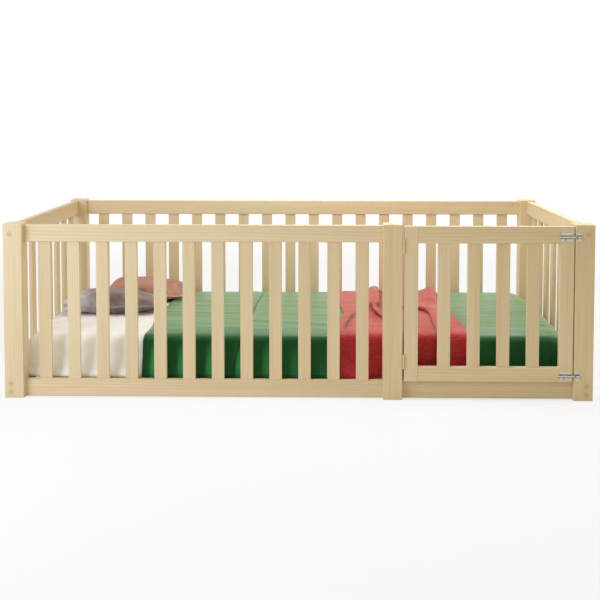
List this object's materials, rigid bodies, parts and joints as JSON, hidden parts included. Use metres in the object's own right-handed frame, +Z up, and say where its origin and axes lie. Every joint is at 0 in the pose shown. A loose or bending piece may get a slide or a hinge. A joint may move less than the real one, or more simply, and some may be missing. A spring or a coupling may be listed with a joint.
{
  "type": "child's floor bed",
  "caption": "Low pine floor bed with a slatted fence all round, a hinged slatted gate with barrel bolts, a slatted base, a mattress and bedding.",
  "frame": {"origin": "on the floor, under the middle of the bed's box", "axes": "+X along the bed from the cushions to the foot, +Y from the gate side to the rear, +Z up"},
  "size_m": [2.1424, 1.051, 0.64],
  "materials": {
    "pine": "planed pine, clear matt lacquer",
    "base_pine": "sawn pine, unfinished",
    "dowel_wood": "fluted beech",
    "zinc_steel": "zinc plated",
    "cap_plastic": "tan moulded caps",
    "hinge_brass": "satin brass plate",
    "latch_steel": "satin nickel plate",
    "mattress_cloth": "white cotton jersey",
    "green_cloth": "green fine-ribbed cotton",
    "red_knit": "red ribbed knit",
    "grey_cloth": "grey mauve velour",
    "pink_cloth": "terracotta linen"
  },
  "bodies": {
    "frame": {"front_left_post": "pine", "front_right_post": "pine", "rear_left_post": "pine", "rear_right_post": "pine", "gate_post": "pine", "front_top_rail": "pine", "front_bottom_rail": "pine", "gate_sill_rail": "pine", "rear_top_rail": "pine", "rear_bottom_rail": "pine", "left_top_rail": "pine", "left_bottom_rail": "pine", "right_top_rail": "pine", "right_bottom_rail": "pine", "front_slats": "pine", "rear_slats": "pine", "left_end_slats": "pine", "right_end_slats": "pine", "front_left_ledger": "base_pine", "front_right_ledger": "base_pine", "rear_ledger": "base_pine", "centre_beam": "base_pine", "beam_feet": "base_pine", "base_slats": "base_pine", "frame_dowels": "dowel_wood", "rail_bolts": "zinc_steel", "barrel_nuts": "zinc_steel", "bolt_caps": "cap_plastic", "ledger_screws": "zinc_steel", "base_slat_screws": "zinc_steel", "upper_hinge_post_leaf": "hinge_brass", "upper_hinge_pin": "hinge_brass", "lower_hinge_post_leaf": "hinge_brass", "lower_hinge_pin": "hinge_brass", "hinge_post_screws": "hinge_brass", "upper_latch_keeper": "latch_steel", "lower_latch_keeper": "latch_steel", "keeper_screws": "latch_steel", "mattress": "mattress_cloth", "bed_cover": "green_cloth", "throw_blanket": "red_knit", "grey_cushion": "grey_cloth", "pink_cushion": "pink_cloth"},
    "gate": {"gate_hinge_stile": "pine", "gate_latch_stile": "pine", "gate_top_rail": "pine", "gate_bottom_rail": "pine", "gate_slats": "pine", "gate_dowels": "dowel_wood", "upper_hinge_gate_leaf": "hinge_brass", "lower_hinge_gate_leaf": "hinge_brass", "hinge_gate_screws": "hinge_brass", "upper_latch_plate": "latch_steel", "lower_latch_plate": "latch_steel", "latch_plate_screws": "latch_steel"},
    "upper_bolt": {"upper_latch_bar": "latch_steel", "upper_latch_knob": "latch_steel"},
    "lower_bolt": {"lower_latch_bar": "latch_steel", "lower_latch_knob": "latch_steel"}
  },
  "joints": [
    {"name": "gate_swing", "type": "hinge", "parent": "frame", "child": "gate", "pos_m": [0.3845, -0.51953, 0.35], "axis": [0, 0, -1], "range_deg": [0, 170]},
    {"name": "upper_bolt_slide", "type": "slide", "parent": "gate", "child": "upper_bolt", "axis": [1, 0, 0], "range_m": [0, 0.014]},
    {"name": "lower_bolt_slide", "type": "slide", "parent": "gate", "child": "lower_bolt", "axis": [1, 0, 0], "range_m": [0, 0.014]}
  ]
}
